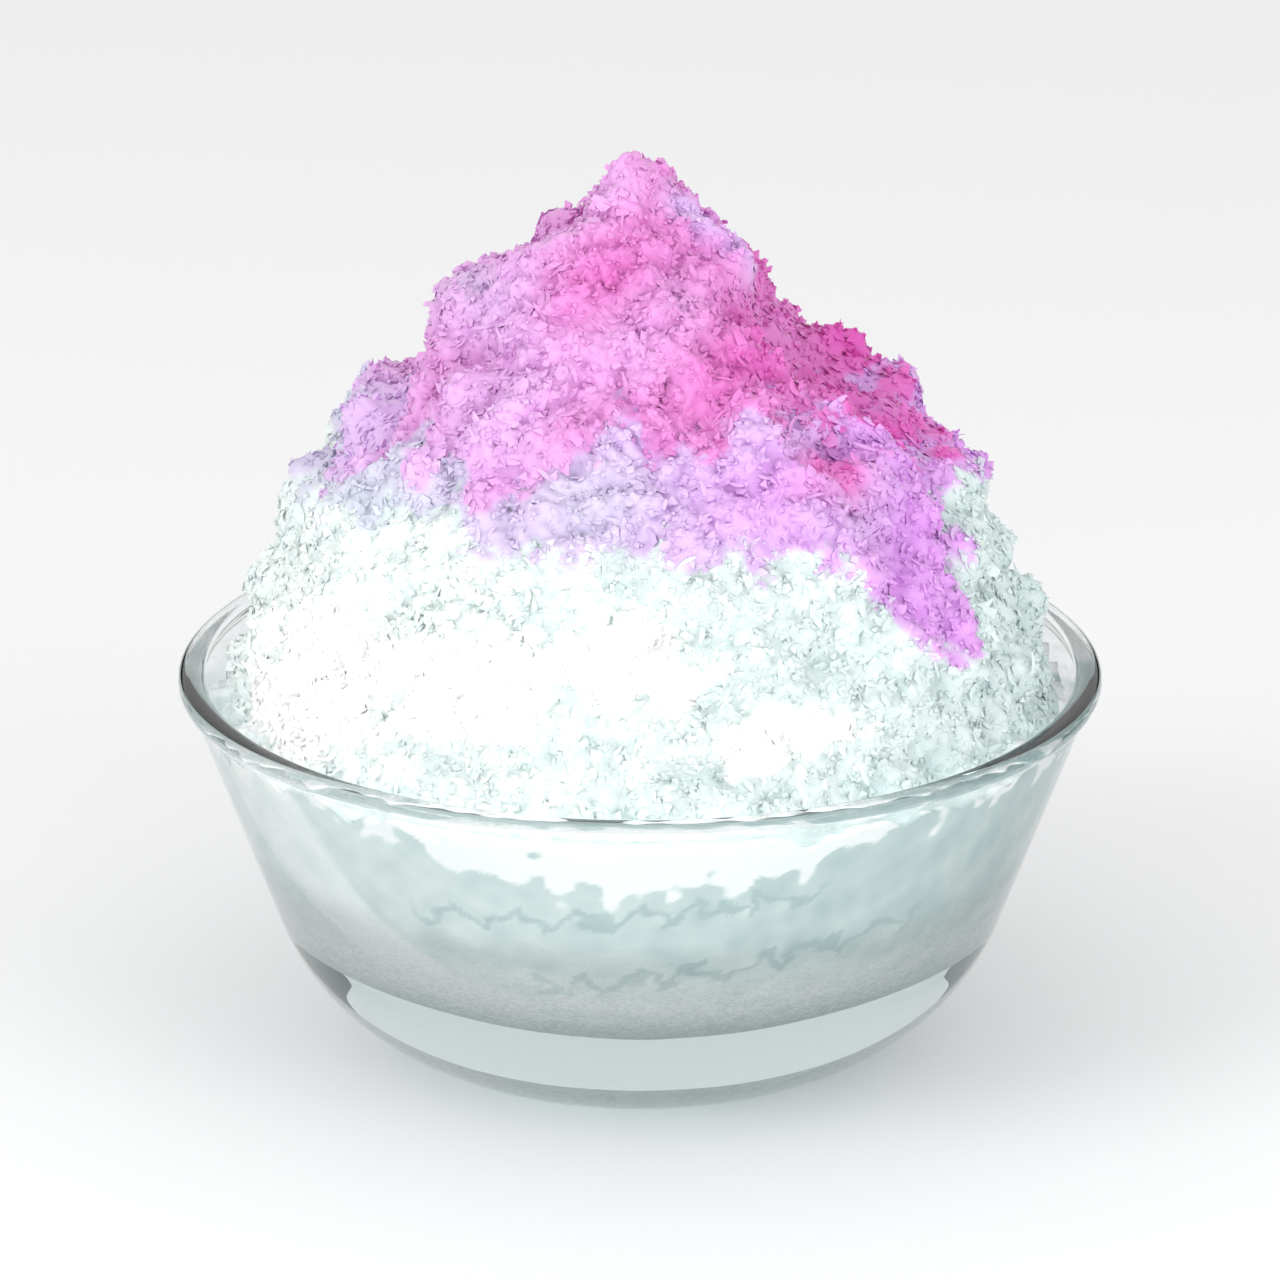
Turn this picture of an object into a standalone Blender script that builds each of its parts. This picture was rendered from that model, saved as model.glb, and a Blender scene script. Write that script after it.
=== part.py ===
"""A shaved ice dessert: a thick pressed-glass bowl, heaped with shaved ice that rises to a ragged peak.

The frame is metres, +Z up, with the origin at the centre of the bowl's foot, on the table.
-Y is the front. Two solids: glass_bowl, turned from one outline, and shaved_ice, which fills the bowl
to just under its rim and stands above it as an uneven mound.
"""

import math

import bmesh
import bpy
import numpy as np

# Driving dimensions of the bowl, in metres.
BOWL_RADIUS = 0.075  # over the rim's bead
BOWL_HEIGHT = 0.065
RIM_WALL = 0.0046  # glass between the bead's outside and the inner wall, at the rim
BEAD_RADIUS = 0.0016  # the fire-polished bead round the rim
BEAD_PROUD = 0.0004  # how far the bead stands out from the wall under it
OUTER_SLOPE = 0.37  # metres that the outer wall comes in for each metre down
INNER_SLOPE = 0.44  # a little more, so that the glass thickens on its way down
OUTER_BEND = 0.024  # height at which the outer wall starts to round under
OUTER_CURL = 0.0094  # how far below its bend the outer wall keeps its slope
UNDER_ANGLE = 16  # degrees that the outer wall still rises at the foot
UNDER_REACH = 0.014  # how far out from the foot it keeps that rise
INNER_BEND = 0.042
INNER_FLAT = 0.028  # how far out from the centre the inside stays nearly level
INNER_CURL = 0.012  # how far below its bend the inner wall keeps its slope
BASE_GLASS = 0.0180  # glass under the ice, at the centre
FOOT_RADIUS = 0.034
FOOT_HEIGHT = 0.0008
FOOT_WIDTH = 0.009  # the ring that the bowl rests on
RECESS = 0.0007  # the hollow inside that ring

# Driving dimensions of the ice.
PEAK_ABOVE_RIM = 0.084
ICE_BELOW_RIM = 0.006  # where the mound meets the inner wall
GAP = 0.0003  # clearance between the ice and the glass
PEAK_LEAN = -0.0022  # how far the peak stands off the axis, along X
# The mound's mean side, from its peak down: radius and height above the rim.
MOUND_SIDE = (
    (0.0085, 0.0765),
    (0.0195, 0.0670),
    (0.0286, 0.0565),
    (0.0382, 0.0475),
    (0.0488, 0.0382),
    (0.0560, 0.0260),
    (0.0605, 0.0130),
    (0.0648, 0.0015),
)
# Lumps and hollows on the mound: bearing from +X in degrees, height above the rim, how far it stands
# out (or in, below zero) and how wide it is. The left shoulder and the right hollow shape its outline.
LUMPS = (
    (180, 0.0720, -0.0040, 0.0050),
    (180, 0.0590, 0.0058, 0.0066),
    (178, 0.0470, -0.0022, 0.0070),
    (182, 0.0310, -0.0066, 0.0075),
    (2, 0.0700, 0.0026, 0.0050),
    (0, 0.0540, -0.0120, 0.0105),
    (356, 0.0400, 0.0016, 0.0060),
    (5, 0.0320, 0.0016, 0.0060),
    (240, 0.0560, 0.0034, 0.0110),
    (300, 0.0470, 0.0030, 0.0100),
    (268, 0.0300, -0.0024, 0.0120),
    (215, 0.0240, 0.0024, 0.0110),
    (325, 0.0180, 0.0022, 0.0100),
    (60, 0.0540, 0.0042, 0.0100),
    (105, 0.0420, -0.0034, 0.0110),
    (130, 0.0600, 0.0036, 0.0080),
    (140, 0.0230, 0.0026, 0.0120),
    (70, 0.0200, 0.0020, 0.0120),
)
# Crumbly relief over the whole mound: wavelength and height of each layer of waves.
RELIEF = ((0.0190, 0.0013), (0.0120, 0.0006))
WAVES_PER_LAYER = 22
RELIEF_SEED = 11
RELIEF_FADE = 0.016  # height above the glass over which the unevenness grows in from nothing

SEGMENTS = 64
BEND_STEPS = 9
BEAD_STEPS = 7
SIDE_STEPS = 3  # between one point of MOUND_SIDE and the next


def curve(start, start_handle, end_handle, end, steps):
    """Points of a cubic Bezier curve, both ends included."""
    points = []
    for i in range(steps + 1):
        t = i / steps
        weights = ((1 - t) ** 3, 3 * t * (1 - t) ** 2, 3 * t * t * (1 - t), t**3)
        handles = (start, start_handle, end_handle, end)
        points.append(tuple(sum(w * p[k] for w, p in zip(weights, handles)) for k in (0, 1)))
    return points


def smooth_through(points, steps):
    """Points of a Catmull-Rom curve through the given ones, without the last."""
    before = tuple(2 * a - b for a, b in zip(points[0], points[1]))
    after = tuple(2 * a - b for a, b in zip(points[-1], points[-2]))
    padded = [before, *points, after]
    found = []
    for stretch in zip(padded, padded[1:], padded[2:], padded[3:]):
        for i in range(steps):
            t = i / steps
            weights = (-t + 2 * t**2 - t**3, 2 - 5 * t**2 + 3 * t**3, t + 4 * t**2 - 3 * t**3, t**3 - t**2)
            found.append(tuple(sum(w * p[k] for w, p in zip(weights, stretch)) / 2 for k in (0, 1)))
    return found


def outer_wall():
    """The bowl's outside, from the rim's bead down to the foot: radius and height."""
    centre = (BOWL_RADIUS - BEAD_RADIUS, BOWL_HEIGHT - BEAD_RADIUS)
    bead = []
    for i in range(BEAD_STEPS + 1):
        angle = math.radians(90 - 150 * i / BEAD_STEPS)
        bead.append((centre[0] + BEAD_RADIUS * math.cos(angle), centre[1] + BEAD_RADIUS * math.sin(angle)))
    wall_top = (
        BOWL_RADIUS - OUTER_SLOPE * 2 * BEAD_RADIUS - BEAD_PROUD,
        BOWL_HEIGHT - 2 * BEAD_RADIUS,
    )
    bend = (wall_top[0] - OUTER_SLOPE * (wall_top[1] - OUTER_BEND), OUTER_BEND)
    foot = (FOOT_RADIUS, FOOT_HEIGHT)
    rise = math.radians(UNDER_ANGLE)
    handles = (
        (bend[0] - OUTER_SLOPE * OUTER_CURL, bend[1] - OUTER_CURL),
        (foot[0] + UNDER_REACH * math.cos(rise), foot[1] + UNDER_REACH * math.sin(rise)),
    )
    return [*bead, wall_top, *curve(bend, *handles, foot, BEND_STEPS)]


def inner_wall(gap=0.0):
    """The bowl's inside, from its centre up to the rim: radius and height. With a gap, the ice's side."""
    top = (BOWL_RADIUS - RIM_WALL - gap, BOWL_HEIGHT - BEAD_RADIUS)
    bend = (top[0] - INNER_SLOPE * (top[1] - INNER_BEND), INNER_BEND)
    bottom = (0.0, BASE_GLASS + gap)
    handles = ((INNER_FLAT, bottom[1]), (bend[0] - INNER_SLOPE * INNER_CURL, bend[1] - INNER_CURL))
    return [*curve(bottom, *handles, bend, BEND_STEPS), top]


def bowl_outline():
    """The whole cut edge of the bowl, from the middle of its underside round to the middle of its inside."""
    ring_inside = FOOT_RADIUS - FOOT_WIDTH
    underside = [
        (0.0, RECESS),
        (ring_inside - RECESS, RECESS),
        (ring_inside, 0.0),
        (FOOT_RADIUS - FOOT_HEIGHT, 0.0),
    ]
    rim_inner_round = (BOWL_RADIUS - RIM_WALL + BEAD_RADIUS / 2, BOWL_HEIGHT)
    return [*underside, *outer_wall()[::-1], rim_inner_round, *inner_wall()[::-1]]


def ice_outline():
    """The ice's cut edge before it is made uneven, from the middle of its underside up to the peak."""
    in_bowl = inner_wall(GAP)[:-1]
    slope_point = in_bowl[-1]
    contact_height = BOWL_HEIGHT - ICE_BELOW_RIM
    contact = (slope_point[0] + INNER_SLOPE * (contact_height - slope_point[1]), contact_height)
    side = [(radius, BOWL_HEIGHT + height) for radius, height in MOUND_SIDE[::-1]]
    mound = [contact, *side, (0.0, BOWL_HEIGHT + PEAK_ABOVE_RIM)]
    halfway = tuple((a + b) / 2 for a, b in zip(slope_point, contact))
    return [*in_bowl, halfway, *smooth_through(mound, SIDE_STEPS), mound[-1]]


def waves():
    """The plane waves whose sum is the ice's crumbly relief: direction and pace, phase, height."""
    random = np.random.default_rng(RELIEF_SEED)
    found = []
    for wavelength, height in RELIEF:
        directions = random.normal(size=(WAVES_PER_LAYER, 3))
        directions /= np.linalg.norm(directions, axis=1)[:, None]
        phases = random.uniform(0, 2 * math.pi, WAVES_PER_LAYER)
        scale = height * math.sqrt(2 / WAVES_PER_LAYER)
        found.append((directions * 2 * math.pi / wavelength, phases, scale))
    return found


def mound_radius(height):
    """The mound's mean radius at a height above the rim."""
    heights = [h for _, h in MOUND_SIDE][::-1] + [PEAK_ABOVE_RIM]
    radii = [r for r, _ in MOUND_SIDE][::-1] + [0.0]
    return float(np.interp(height, heights, radii))


def unevenness(point, layers):
    """How far the mound stands out at a point of its mean surface: its lumps and its relief."""
    stands_out = 0.0
    for bearing, height, amount, width in LUMPS:
        angle = math.radians(bearing)
        radius = mound_radius(height)
        centre = np.array((radius * math.cos(angle), radius * math.sin(angle), BOWL_HEIGHT + height))
        distance = np.linalg.norm(point - centre)
        stands_out += amount * math.exp(-((distance / width) ** 2) / 2)
    for directions, phases, scale in layers:
        stands_out += scale * float(np.sin(directions @ point + phases).sum())
    return stands_out


def share_of_relief(height):
    """From 0 where the ice lies in the bowl to 1 well above the rim, so that it never meets the glass."""
    start = BOWL_HEIGHT - ICE_BELOW_RIM
    share = min(1.0, max(0.0, (height - start) / RELIEF_FADE))
    return share * share * (3 - 2 * share)


def lean(height):
    """How far the mound leans along X at a height, growing with the square of the height above the rim."""
    return PEAK_LEAN * max(0.0, (height - BOWL_HEIGHT) / PEAK_ABOVE_RIM) ** 2


def turned(name, outline):
    """A solid turned round the Z axis from an outline that starts and ends on that axis."""
    mesh = bpy.data.meshes.new(name)
    shape = bmesh.new()
    corners = [shape.verts.new((radius, 0.0, height)) for radius, height in outline]
    edges = [shape.edges.new(pair) for pair in zip(corners, corners[1:])]
    bmesh.ops.spin(
        shape,
        geom=corners + edges,
        cent=(0, 0, 0),
        axis=(0, 0, 1),
        angle=2 * math.pi,
        steps=SEGMENTS,
        use_merge=True,
    )
    bmesh.ops.remove_doubles(shape, verts=shape.verts, dist=1e-6)
    bmesh.ops.recalc_face_normals(shape, faces=shape.faces)
    shape.to_mesh(mesh)
    shape.free()
    mesh.shade_smooth()
    piece = bpy.data.objects.new(name, mesh)
    bpy.context.scene.collection.objects.link(piece)
    return piece


def make_uneven(piece):
    """Pushes each point of the mound out or in along the mean surface's slope."""
    layers = waves()
    shape = bmesh.new()
    shape.from_mesh(piece.data)
    shape.normal_update()
    moves = {}
    for corner in shape.verts:
        share = share_of_relief(corner.co.z)
        if share > 0:
            moves[corner] = corner.normal * share * unevenness(np.array(corner.co), layers)
            moves[corner].x += lean(corner.co.z)
    for corner, move in moves.items():
        corner.co += move
    bmesh.ops.recalc_face_normals(shape, faces=shape.faces)
    shape.to_mesh(piece.data)
    shape.free()


def finish(piece, colour, roughness, transmission=0.0):
    """Gives a piece its own plain material."""
    material = bpy.data.materials.new(piece.name)
    material.use_nodes = True
    shader = material.node_tree.nodes["Principled BSDF"]
    shader.inputs["Base Color"].default_value = (*colour, 1.0)
    shader.inputs["Roughness"].default_value = roughness
    shader.inputs["Metallic"].default_value = 0.0
    shader.inputs["Transmission Weight"].default_value = transmission
    piece.data.materials.append(material)


def main():
    for old in list(bpy.data.objects):
        bpy.data.objects.remove(old)
    bowl = turned("glass_bowl", bowl_outline())
    finish(bowl, (0.93, 0.96, 0.96), 0.03, transmission=1.0)
    ice = turned("shaved_ice", ice_outline())
    make_uneven(ice)
    finish(ice, (0.90, 0.80, 0.90), 0.55)


main()
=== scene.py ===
# %% [markdown]
# A shaved ice dessert in a thick glass bowl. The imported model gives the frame: where the bowl stands,
# how wide its rim is, how high the ice rises. Everything seen is worked out below in that same frame,
# in metres, with +Z up and the front towards -Y.

# %% Load the frame
import math

import bpy
import numpy as np
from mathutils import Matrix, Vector


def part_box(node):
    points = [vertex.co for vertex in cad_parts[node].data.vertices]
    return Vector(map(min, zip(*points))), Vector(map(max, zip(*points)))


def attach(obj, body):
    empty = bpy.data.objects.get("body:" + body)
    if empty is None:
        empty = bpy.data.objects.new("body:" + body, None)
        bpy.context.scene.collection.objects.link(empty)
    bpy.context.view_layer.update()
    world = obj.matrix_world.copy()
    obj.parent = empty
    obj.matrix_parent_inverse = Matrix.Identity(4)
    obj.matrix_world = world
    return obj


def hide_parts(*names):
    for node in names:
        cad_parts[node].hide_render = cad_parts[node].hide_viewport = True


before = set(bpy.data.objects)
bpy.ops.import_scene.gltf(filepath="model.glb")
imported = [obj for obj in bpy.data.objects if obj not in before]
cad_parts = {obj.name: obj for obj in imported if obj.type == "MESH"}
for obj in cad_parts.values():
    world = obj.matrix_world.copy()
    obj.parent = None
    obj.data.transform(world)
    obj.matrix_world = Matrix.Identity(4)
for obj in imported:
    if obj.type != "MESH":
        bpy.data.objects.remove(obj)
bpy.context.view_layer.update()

bowl_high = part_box("glass_bowl")[1]
ice_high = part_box("shaved_ice")[1]
MM = 0.001
RIM = bowl_high.z
print("rim at", round(RIM / MM, 1), "mm, peak at", round(ice_high.z / MM, 1), "mm")

# %% [markdown]
# Colours are written the way a paint program shows them, as hex values, and turned to the linear values
# that light is reckoned in. Blender would take linear numbers directly, but they are hard to read: a
# middle grey is 0.5 to the eye and only 0.22 in light.


# %% Colour
def linear(colour):
    """The linear RGBA of an sRGB hex colour: each channel over 12.92 when dark, else the 2.4 power."""
    channels = np.array([int(colour[i : i + 2], 16) for i in (0, 2, 4)]) / 255
    values = np.where(channels <= 0.04045, channels / 12.92, ((channels + 0.055) / 1.055) ** 2.4)
    return (*values.tolist(), 1.0)


print("middle grey in light:", round(linear("808080")[0], 3))

# %% [markdown]
# A bowl and a heap of ice are both rings of points stacked from one end to the other, so one function
# turns such a stack into a closed skin. A turned shape is the simplest stack: every ring is the same
# circle, only wider or higher. Whole arrays go into the mesh at once, which is fast.


# %% Skins of rings
def new_piece(name, points, faces, smooth=True):
    """A mesh object of that name at the origin, from an array of points and a list of faces."""
    mesh = bpy.data.meshes.new(name)
    mesh.from_pydata(points, [], faces)
    if smooth:
        mesh.shade_smooth()
    made = bpy.data.objects.new(name, mesh)
    bpy.context.scene.collection.objects.link(made)
    print(name, len(points), "points,", sum(len(f) - 2 for f in faces), "triangles")
    return made


def ring_skin(name, rings, first, last):
    """A closed skin over an array of rings (row, column, xyz), fanned to a point at each end.

    Quad (i, j) joins ring i to ring i + 1 between columns j and j + 1, which wraps round.
    """
    rows, columns, _ = rings.shape
    start = np.arange(rows - 1)[:, None] * columns
    here = np.arange(columns)[None, :]
    after = (here + 1) % columns
    quads = np.stack([start + here, start + after, start + columns + after, start + columns + here], -1)
    top = (rows - 1) * columns
    first_index = np.full(columns, rows * columns)
    first_fan = np.stack([first_index, after[0], here[0]], -1)
    last_fan = np.stack([first_index + 1, top + here[0], top + after[0]], -1)
    points = np.concatenate([rings.reshape(-1, 3), [first, last]])
    return new_piece(name, points, quads.reshape(-1, 4).tolist() + first_fan.tolist() + last_fan.tolist())


def turn(line, columns):
    """Rings of a turned shape: each (radius, height) of the line, carried once round the Z axis."""
    around = np.linspace(0, 2 * np.pi, columns, endpoint=False)
    radius, height = line[:, 0, None], line[:, 1, None]
    return np.stack([radius * np.cos(around), radius * np.sin(around), height + 0 * around], -1)


def store(piece, **values):
    """Keeps one number for each point of a piece, under each name, for its material to read."""
    for name, numbers in values.items():
        layer = piece.data.attributes.new(name, "FLOAT", "POINT")
        layer.data.foreach_set("value", np.asarray(numbers, np.float32).ravel())


print("one turned ring:", turn(np.array([(1.0, 0.0)]), 4).round(3).tolist())

# %% [markdown]
# The bowl is pressed glass: molten glass squeezed in a mould, then held in a flame until its rim melts
# into a round bead. It could be a cylinder pushed about by hand, but a pressed bowl is a turned shape,
# so its whole cut edge is written down once and carried round the axis. The glass thickens from the
# rim down to a heavy base, which is what makes such a bowl look solid.


# %% The bowl's cut edge
def bezier(a, b, c, d, count):
    """Points of a cubic Bezier curve: the four handles weighted by (1-t)^3, 3t(1-t)^2, 3t^2(1-t), t^3."""
    t = np.linspace(0, 1, count)[:, None]
    a, b, c, d = (np.array(p) for p in (a, b, c, d))
    return (1 - t) ** 3 * a + 3 * t * (1 - t) ** 2 * b + 3 * t**2 * (1 - t) * c + t**3 * d


def even_steps(line, step):
    """The same line with its points one step apart, read off along its length."""
    along = np.append(0, np.cumsum(np.linalg.norm(np.diff(line, axis=0), axis=1)))
    at = np.linspace(0, along[-1], int(along[-1] / step) + 1)
    return np.stack([np.interp(at, along, line[:, k]) for k in (0, 1)], 1)


BEAD = 1.6 * MM  # radius of the melted bead
RIM_WALL = 4.6 * MM
RIM_RADIUS = bowl_high.x
OUTER_SLOPE, INNER_SLOPE = 0.37, 0.44
OUTER_BEND, INNER_BEND = 24 * MM, 42 * MM
OUTER_CURL, INNER_CURL = 9.4 * MM, 12 * MM  # how long each wall keeps its slope below its bend
INNER_FLAT = 28 * MM  # how long the inside keeps level from the axis
BASE_GLASS = 18 * MM
FOOT_RADIUS, FOOT_HEIGHT = 34 * MM, 0.8 * MM
UNDER_REACH, UNDER_WAY = 14 * MM, np.array([0.961, 0.276])  # the underside leaves the foot 16 degrees up
RECESS_RADIUS, RECESS = 25 * MM, 0.7 * MM


def inner_wall(reach=0.0):
    """The inside from its centre up to the rim, moved into the glass by reach."""
    top = (RIM_RADIUS - RIM_WALL + reach, RIM - BEAD)
    bend = (top[0] - INNER_SLOPE * (top[1] - INNER_BEND), INNER_BEND)
    bottom = (0.0, BASE_GLASS - reach)
    curl = (bend[0] - INNER_SLOPE * INNER_CURL, bend[1] - INNER_CURL)
    return np.concatenate([bezier(bottom, (INNER_FLAT, bottom[1]), curl, bend, 80), [top]])


angles = np.radians(np.linspace(90, -60, 40))[:, None]
bead_centre = np.array([RIM_RADIUS - BEAD, RIM - BEAD])
bead = bead_centre + BEAD * np.concatenate([np.cos(angles), np.sin(angles)], 1)
wall_top = np.array([RIM_RADIUS - OUTER_SLOPE * 2 * BEAD - 0.4 * MM, RIM - 2 * BEAD])
outer_bend = np.array([wall_top[0] - OUTER_SLOPE * (wall_top[1] - OUTER_BEND), OUTER_BEND])
outer_curl = outer_bend - OUTER_CURL * np.array([OUTER_SLOPE, 1])
under = np.array([FOOT_RADIUS, FOOT_HEIGHT]) + UNDER_REACH * UNDER_WAY
outer_round = bezier(outer_bend, outer_curl, under, (FOOT_RADIUS, FOOT_HEIGHT), 120)
rim_round = np.radians(np.linspace(180, 90, 20))[:, None]
rim_centre = np.array([RIM_RADIUS - RIM_WALL + BEAD, RIM - BEAD])
rim_inside = rim_centre + BEAD * np.concatenate([np.cos(rim_round), np.sin(rim_round)], 1)
outline = np.concatenate(
    [
        [(0, RECESS), (RECESS_RADIUS - RECESS, RECESS), (RECESS_RADIUS, 0)],
        [(FOOT_RADIUS - FOOT_HEIGHT, 0)],
        outer_round[::-1],
        [wall_top],
        bead[::-1],
        rim_inside[::-1],
        inner_wall()[::-1],
    ]
)
print("cut edge", len(outline), "points, base glass", round(BASE_GLASS / MM, 1), "mm thick")

# %% [markdown]
# Fire polishing rounds every corner a little. The line is read off in tenths of a millimetre and each
# point becomes a bell-shaped average of its neighbours. Then points are kept where they are needed:
# close together where the line bends, further apart where it is nearly straight.


# %% The bowl's surface
def rounded(line, radius):
    """A line with its corners melted: each point a bell-weighted mean of those within 3 mm."""
    reach = np.arange(-30, 31)
    bell = np.exp(-((reach * 0.1 * MM / radius) ** 2) / 2)
    bell /= bell.sum()
    mirror = np.array([-1, 1])
    padded = np.concatenate([line[30:0:-1] * mirror, line, line[-2:-32:-1] * mirror])
    return np.stack([np.convolve(padded[:, k], bell, "valid") for k in (0, 1)], 1)


def fit_rows(line, rows):
    """Rows of a line, their spacing inversely as one plus its bend over 3 mm."""
    bend = np.linalg.norm(np.gradient(np.gradient(line, axis=0), axis=0), axis=1) / (0.1 * MM) ** 2
    weight = np.append(0, np.cumsum(1 + 3 * MM * bend)[:-1])
    at = np.interp(np.linspace(0, weight[-1], rows), weight, np.arange(len(line)))
    return np.stack([np.interp(at, np.arange(len(line)), line[:, k]) for k in (0, 1)], 1)


bowl_line = fit_rows(rounded(even_steps(outline, 0.1 * MM), 0.28 * MM), 190)
bowl = ring_skin(
    "clear_glass_bowl",
    turn(bowl_line[1:-1], 288),
    (0, 0, bowl_line[0, 1]),
    (0, 0, bowl_line[-1, 1]),
)

# %% [markdown]
# A heap of shaved ice is a mean shape, big lumps, smaller clumps, and crumbs, each laid on the one
# before. Clumps could come from a Displace modifier with a noise texture, but a sum of waves that run
# in random directions does the same in a few lines of array work, with no seams and no repeats. Folded
# at zero, the waves give round clumps with sharp creases, as wet crumbs that stick together have.


# %% Smooth lines, ripples and clumps
def through(points, count):
    """A smooth (Catmull-Rom) line through points, count steps between each pair."""
    points = np.array(points)
    padded = np.concatenate([[2 * points[0] - points[1]], points, [2 * points[-1] - points[-2]]])
    t = np.linspace(0, 1, count, endpoint=False)[:, None]
    weights = (-t + 2 * t**2 - t**3, 2 - 5 * t**2 + 3 * t**3, t + 4 * t**2 - 3 * t**3, t**3 - t**2)
    pieces = [sum(w * padded[i + k] / 2 for k, w in enumerate(weights)) for i in range(len(points) - 1)]
    return np.concatenate([*pieces, points[-1:]])


def ripples(points, waves, wavelength, seed):
    """A sum of plane waves in random directions, scaled so that its typical size is 1."""
    random = np.random.default_rng(seed)
    directions = random.normal(size=(waves, 3))
    directions /= np.linalg.norm(directions, axis=1)[:, None]
    phases = random.uniform(0, 2 * np.pi, waves)
    slope = directions.T * 2 * np.pi / wavelength
    return np.sin(points @ slope + phases).sum(-1) * math.sqrt(2 / waves)


def clumps(points, size, seed):
    """Round clumps with sharp creases between: the size of the ripples, whatever their sign."""
    return np.abs(ripples(points, 18, 2 * size, seed)) - 0.8


test_points = np.random.default_rng(0).uniform(0, 0.1, (1000, 3))
print("typical ripple", round(float(ripples(test_points, 18, 9 * MM, 1).std()), 2))

# %% [markdown]
# The mean side is a smooth line through a few radii, steep near the glass and flatter towards the peak.
# The lumps are soft bumps and hollows at chosen places, which give this heap its own outline: a notch
# on each shoulder, and a peak with a step under it.


# %% The heap's mean side and its lumps
PEAK = ice_high.z - RIM
PEAK_LEAN = -2.2 * MM  # how far the peak stands along X from the axis: a little to the left
CONTACT = -6 * MM  # where the heap meets the glass, from the rim
HEAP_BOTTOM = RIM - 9 * MM  # the heap goes on down into the packed ice, so that no gap can show
# Radius and height above the rim, in millimetres, of the heap's mean side.
SIDE = (
    (68.2, -6.0),
    (64.8, 1.5),
    (60.5, 13.0),
    (56.0, 26.0),
    (48.8, 38.2),
    (38.2, 47.5),
    (28.6, 56.5),
    (19.5, 67.0),
    (8.5, 76.5),
    (0.0, 84.0),
)
# Lumps and hollows: bearing from +X in degrees; height above the rim, stands out, width, in millimetres.
LUMPS = (
    (180, 72.0, -4.0, 5.0),
    (180, 59.0, 5.8, 6.6),
    (178, 47.0, -2.2, 7.0),
    (182, 31.0, -6.6, 7.5),
    (2, 70.0, 2.6, 5.0),
    (0, 54.0, -12.0, 10.5),
    (356, 40.0, 1.6, 6.0),
    (5, 32.0, 1.6, 6.0),
    (240, 56.0, 3.4, 11.0),
    (300, 47.0, 3.0, 10.0),
    (268, 30.0, -2.4, 12.0),
    (215, 24.0, 2.4, 11.0),
    (325, 18.0, 2.2, 10.0),
    (60, 54.0, 4.2, 10.0),
    (105, 42.0, -3.4, 11.0),
    (130, 60.0, 3.6, 8.0),
    (140, 23.0, 2.6, 12.0),
    (70, 20.0, 2.0, 12.0),
)
side_line = through(np.array(SIDE) * MM, 12)
side_line[:, 1] += RIM


def place(bearing, height):
    """The point of the mean side at a bearing in degrees and a height above the rim in millimetres."""
    z = RIM + height * MM
    radius = np.interp(z, side_line[:, 1], side_line[:, 0])
    turned = np.radians(bearing)
    return np.array([radius * np.cos(turned), radius * np.sin(turned), z])


def lumps(points):
    """The sum of the listed bumps, each falling off like a bell with distance from its centre."""
    total = np.zeros(points.shape[:-1])
    for bearing, height, amount, width in LUMPS:
        distance = np.linalg.norm(points - place(bearing, height), axis=-1)
        total += amount * MM * np.exp(-((distance / (width * MM)) ** 2) / 2)
    return total


print("mean side", len(side_line), "points, peak", round(PEAK / MM, 1), "mm over the rim")

# %% [markdown]
# The part above the glass is a stack of rings along the mean side, close enough together to hold
# relief of a millimetre. Each ring is a circle still, and each point has a direction that points
# straight out of the mean side, which is the way that the relief will move it.


# %% The heap's rings before relief
def smooth_step(value, low, high):
    """From 0 at low to 1 at high along 3t^2 - 2t^3."""
    t = np.clip((value - low) / (high - low), 0, 1)
    return t * t * (3 - 2 * t)


ROWS, COLUMNS = 216, 450
below = np.array([(62 * MM, HEAP_BOTTOM), (66.6 * MM, HEAP_BOTTOM + 0.8 * MM)])
mound_line = np.concatenate([below, side_line])
along = np.append(0, np.cumsum(np.linalg.norm(np.diff(mound_line, axis=0), axis=1)))
at = np.linspace(0, along[-1], ROWS + 1)[:-1]
mound_line = np.stack([np.interp(at, along, mound_line[:, k]) for k in (0, 1)], 1)
mean_rings = turn(mound_line, COLUMNS)
tangent = np.gradient(mound_line, axis=0)
outward = np.stack([tangent[:, 1], -tangent[:, 0]], 1)
outward /= np.linalg.norm(outward, axis=1)[:, None]
normal_rings = turn(outward, COLUMNS)
print("rings", ROWS, "of", COLUMNS, "points,", round(along[-1] / ROWS / MM, 2), "mm apart")

# %% [markdown]
# Each point now moves out by the lumps, two layers of broad waves, and then clumps in five sizes, the
# finest about a millimetre, which is the grain that a blade shaves off the block. Nothing moves where
# the heap meets the glass, so it never pushes through the wall. The peak leans a little and is drawn
# up to a point.


# %% The heap above the glass
def broad_waves(points):
    """The two layers of broad waves, 19 and 12 mm long, drawn from one seed in turn."""
    random = np.random.default_rng(11)
    total = np.zeros(points.shape[:-1])
    for wavelength, height in ((19 * MM, 1.3 * MM), (12 * MM, 0.6 * MM)):
        directions = random.normal(size=(22, 3))
        directions /= np.linalg.norm(directions, axis=1)[:, None]
        phases = random.uniform(0, 2 * np.pi, 22)
        total += height * np.sin(points @ (directions.T * 2 * np.pi / wavelength) + phases).sum(-1)
    return total * math.sqrt(2 / 22)


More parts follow.
